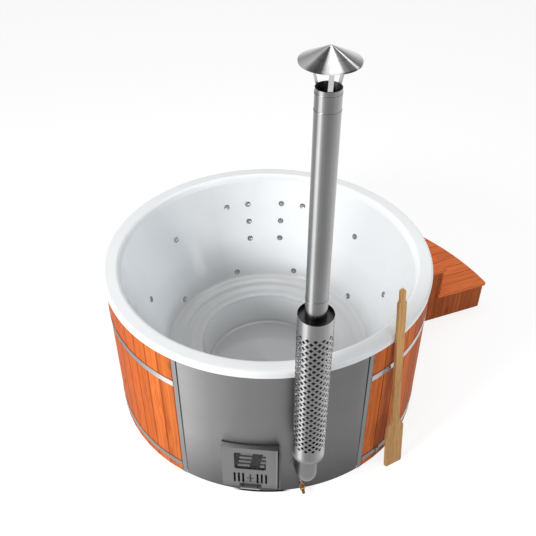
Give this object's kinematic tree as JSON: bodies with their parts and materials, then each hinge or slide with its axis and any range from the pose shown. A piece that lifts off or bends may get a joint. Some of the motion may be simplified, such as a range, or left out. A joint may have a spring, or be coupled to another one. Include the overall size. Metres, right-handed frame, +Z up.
{
  "type": "wood-fired hot tub",
  "caption": "Round wood-clad hot tub with a moulded bench liner, air jets, a built-in stove with chimney and rain cap, curved steps and a stirring paddle.",
  "frame": {"origin": "the tub's vertical axis where it meets the ground", "axes": "+Z up; -Y towards the middle of the steel panel with the stove; +X to the right of it, towards the steps' near end"},
  "size_m": [2.6691, 2.6584, 2.779],
  "materials": {
    "liner": "glossy white gelcoat",
    "cladding": "thermally treated, oiled boards",
    "step_wood": "thermally treated, oiled boards",
    "frame_wood": "sawn, treated timber",
    "paddle_wood": "pale planed pine",
    "panel_steel": "brushed sheet",
    "band_steel": "bright strap",
    "stove_steel": "brushed plate",
    "grille_steel": "grey heat-proof finish",
    "stove_black": "black heat-proof paint",
    "cast_grate": "rough casting",
    "stove_glass": "smoked ceramic glass",
    "flue_steel": "polished tube",
    "guard_steel": "perforated sheet",
    "spacer_black": "black",
    "jet_chrome": "polished trim",
    "jet_centre": "polished nozzle",
    "pipe_plastic": "grey plastic",
    "blower_plastic": "black housing",
    "drain_plastic": "grey pipe",
    "valve_brass": "cast and turned",
    "lever_red": "dipped grip"
  },
  "bodies": {
    "tub": {"liner": "liner", "base_joists": "frame_wood", "floor_deck": "frame_wood", "bench_posts": "frame_wood", "wall_posts": "frame_wood", "backing_rings": "frame_wood", "staves_left": "cladding", "staves_back": "cladding", "staves_right": "cladding", "front_panel": "panel_steel", "panel_rails": "frame_wood", "trim_left": "band_steel", "trim_right": "band_steel", "band_upper": "band_steel", "band_lower": "band_steel", "band_locks": "band_steel", "stove_frame": "stove_steel", "hinge_pin": "stove_steel", "drawer_runners": "stove_black", "firebox": "stove_black", "firebox_feet": "stove_black", "fire_grate": "cast_grate", "smoke_duct": "stove_black", "heater_pipes": "stove_steel", "port_grilles": "liner", "flue_elbow": "flue_steel", "flue_flange": "flue_steel", "flue_pipe_lower": "flue_steel", "flue_pipe_upper": "flue_steel", "pipe_band": "flue_steel", "flue_guard": "guard_steel", "guard_reducer": "guard_steel", "guard_spacer": "spacer_black", "rain_cap": "flue_steel", "cap_straps": "flue_steel", "jet_rings": "jet_chrome", "jet_nozzles": "jet_centre", "jet_bodies": "pipe_plastic", "air_manifold": "pipe_plastic", "air_blower": "blower_plastic", "drain_strainer": "jet_chrome", "drain_pipe": "drain_plastic", "valve_body": "valve_brass", "tread_lower": "step_wood", "tread_upper": "step_wood", "riser_boards": "step_wood", "step_end_near": "step_wood", "step_end_far": "step_wood", "step_carriers": "frame_wood"},
    "door": {"furnace_door": "stove_steel", "window_glass": "stove_glass", "window_grille": "grille_steel", "slide_guides": "grille_steel"},
    "air_damper": {"air_slide": "grille_steel"},
    "ash_tray": {"ash_drawer": "stove_steel", "drawer_handle": "flue_steel"},
    "drain_lever": {"valve_lever": "lever_red"},
    "paddle": {"stirring_paddle": "paddle_wood"}
  },
  "joints": [
    {"name": "door_hinge", "type": "hinge", "parent": "tub", "child": "door", "pos_m": [0.03586, -1.0369, 0.25], "axis": [0, 0, 1], "range_deg": [0, 110]},
    {"name": "air_slide_travel", "type": "slide", "parent": "door", "child": "air_damper", "axis": [0.9916, -0.1297, 0], "range_m": [-0.013, 0.013]},
    {"name": "ash_drawer_slide", "type": "slide", "parent": "tub", "child": "ash_tray", "axis": [-0.1297, -0.9916, 0], "range_m": [0, 0.18]},
    {"name": "drain_lever_turn", "type": "hinge", "parent": "tub", "child": "drain_lever", "pos_m": [0.17308, -1.00724, 0.042], "axis": [0.9201, 0.1581, 0.3584], "range_deg": [0, 90]},
    {"name": "paddle_lift", "type": "slide", "parent": "tub", "child": "paddle", "axis": [-0.0568, 0.0624, 0.9964], "range_m": [0, 0.5]}
  ]
}
